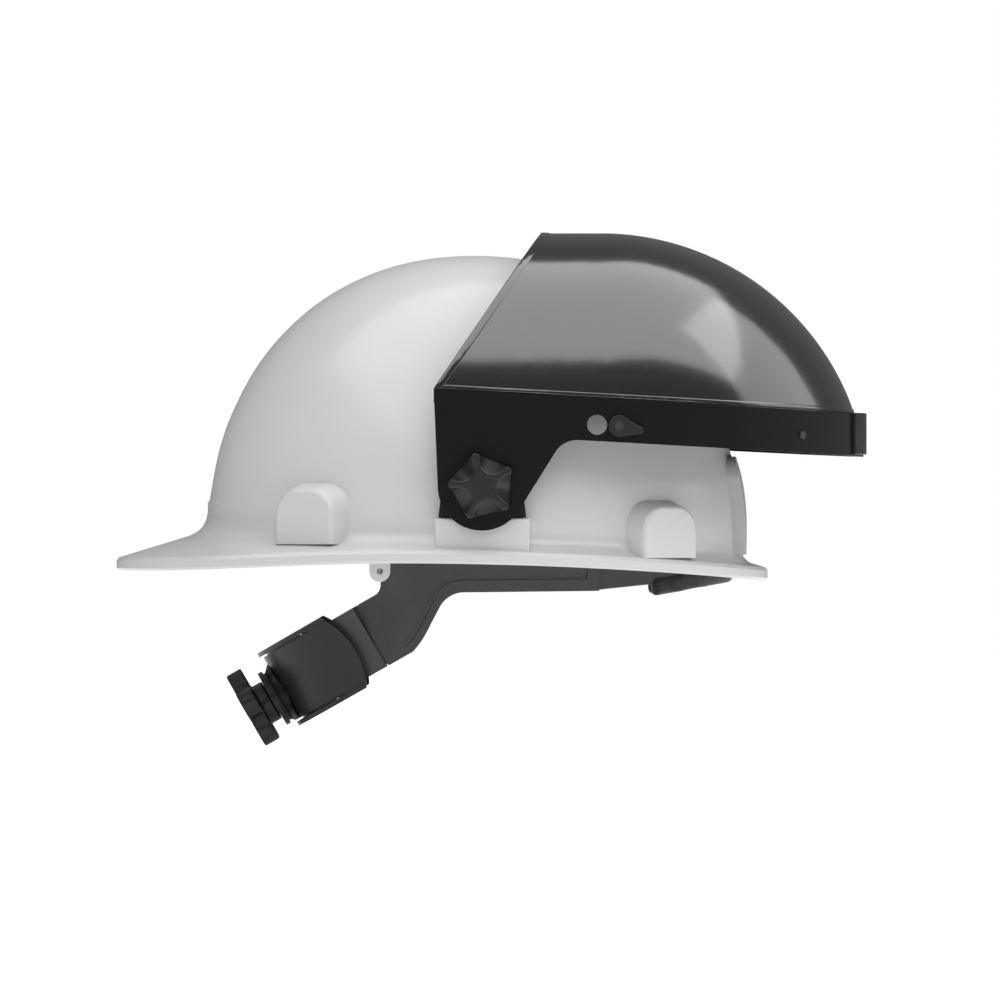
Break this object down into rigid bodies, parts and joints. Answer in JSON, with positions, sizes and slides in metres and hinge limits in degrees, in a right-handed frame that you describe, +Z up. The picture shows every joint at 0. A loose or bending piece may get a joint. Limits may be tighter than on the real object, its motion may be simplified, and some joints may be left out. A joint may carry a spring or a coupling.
{
  "type": "hard hat",
  "caption": "Cap-style hard hat worn with its bill to the back, with a tilting face-shield carrier and crown protector, star knobs, a four-point suspension and a nape ratchet.",
  "frame": {"origin": "centre of the head opening, in the plane of the headband's lower edge", "axes": "+X to the wearer's front, +Y to the wearer's left, +Z up"},
  "size_m": [0.3374, 0.246, 0.2304],
  "materials": {
    "shell_white": "gloss",
    "crown_black": "gloss",
    "carrier_black": "satin",
    "strip_black": "satin",
    "adapter_black": "satin",
    "knob_black": "satin",
    "latch_black": "satin",
    "dark_pin": "satin",
    "band_grey": "satin",
    "key_grey": "satin",
    "crown_tape": "woven",
    "patch_cloth": "woven",
    "sweat_cloth": "soft",
    "pad_cloth": "soft",
    "case_charcoal": "satin",
    "dial_black": "satin",
    "nylon": "satin",
    "washer_nylon": "satin",
    "steel": "satin",
    "brass": "satin"
  },
  "bodies": {
    "helmet": {"shell": "shell_white", "headband": "band_grey", "sweatband": "sweat_cloth", "crown_strap_upper": "crown_tape", "crown_strap_lower": "crown_tape", "crown_patch": "patch_cloth", "slot_adapter_left": "adapter_black", "pivot_bolt_left": "steel", "friction_washer_left": "washer_nylon", "nape_strap_left": "band_grey", "key_front_left": "key_grey", "key_rear_left": "key_grey", "slot_adapter_right": "adapter_black", "pivot_bolt_right": "steel", "friction_washer_right": "washer_nylon", "nape_strap_right": "band_grey", "key_front_right": "key_grey", "key_rear_right": "key_grey"},
    "visor": {"crown_protector": "crown_black", "carrier_frame": "carrier_black", "front_strip": "strip_black", "window_pin_left": "dark_pin", "window_pin_right": "dark_pin"},
    "star_knob_l": {"star_knob_left": "knob_black", "knob_insert_left": "brass"},
    "star_knob_r": {"star_knob_right": "knob_black", "knob_insert_right": "brass"},
    "latch_l": {"window_latch_left": "latch_black", "latch_pin_left": "dark_pin"},
    "latch_r": {"window_latch_right": "latch_black", "latch_pin_right": "dark_pin"},
    "ratchet": {"ratchet_case": "case_charcoal", "case_cover": "case_charcoal", "case_screws": "steel", "nape_pad": "pad_cloth"},
    "dial": {"ratchet_knob": "dial_black", "pinion": "nylon", "detent_disc": "nylon"},
    "rack_l": {"rack_left": "band_grey"},
    "rack_r": {"rack_right": "band_grey"}
  },
  "joints": [
    {"name": "visor_tilt", "type": "hinge", "parent": "helmet", "child": "visor", "pos_m": [0.001, 0, 0.0464], "axis": [0, -1, 0], "range_deg": [0, 72]},
    {"name": "star_knob_left_turn", "type": "hinge", "parent": "helmet", "child": "star_knob_l", "pos_m": [0.001, 0.112, 0.0464], "axis": [0, 1, 0], "range_deg": [0, 180]},
    {"name": "star_knob_right_turn", "type": "hinge", "parent": "helmet", "child": "star_knob_r", "pos_m": [0.001, -0.112, 0.0464], "axis": [0, -1, 0], "range_deg": [0, 180]},
    {"name": "window_latch_left_turn", "type": "hinge", "parent": "visor", "child": "latch_l", "pos_m": [0.0615, 0.1117, 0.07308], "axis": [0, -1, 0], "range_deg": [0, 90]},
    {"name": "window_latch_right_turn", "type": "hinge", "parent": "visor", "child": "latch_r", "pos_m": [0.0615, -0.1117, 0.07308], "axis": [0, -1, 0], "range_deg": [0, 90]},
    {"name": "ratchet_slide", "type": "slide", "parent": "helmet", "child": "ratchet", "axis": [-0.866, 0, -0.5], "range_m": [-0.00788, 0.01179]},
    {"name": "ratchet_dial", "type": "hinge", "parent": "ratchet", "child": "dial", "pos_m": [-0.0378, 0, -0.0171], "axis": [-0.866, 0, -0.5], "range_deg": [-91.67, 137.51]},
    {"name": "rack_left_swing", "type": "hinge", "parent": "ratchet", "child": "rack_l", "pos_m": [-0.0378, 0, -0.0171], "axis": [-0.5, 0, 0.866], "range_deg": [-12.78, 8.54]},
    {"name": "rack_right_swing", "type": "hinge", "parent": "ratchet", "child": "rack_r", "pos_m": [-0.0378, 0, -0.0171], "axis": [-0.5, 0, 0.866], "range_deg": [-8.54, 12.78]}
  ],
  "couplings": [
    {"joint": "ratchet_slide", "follows": "ratchet_dial", "m_per_rad": 0.0048907},
    {"joint": "rack_left_swing", "follows": "ratchet_dial", "ratio": -0.092593},
    {"joint": "rack_right_swing", "follows": "ratchet_dial", "ratio": 0.092593}
  ]
}
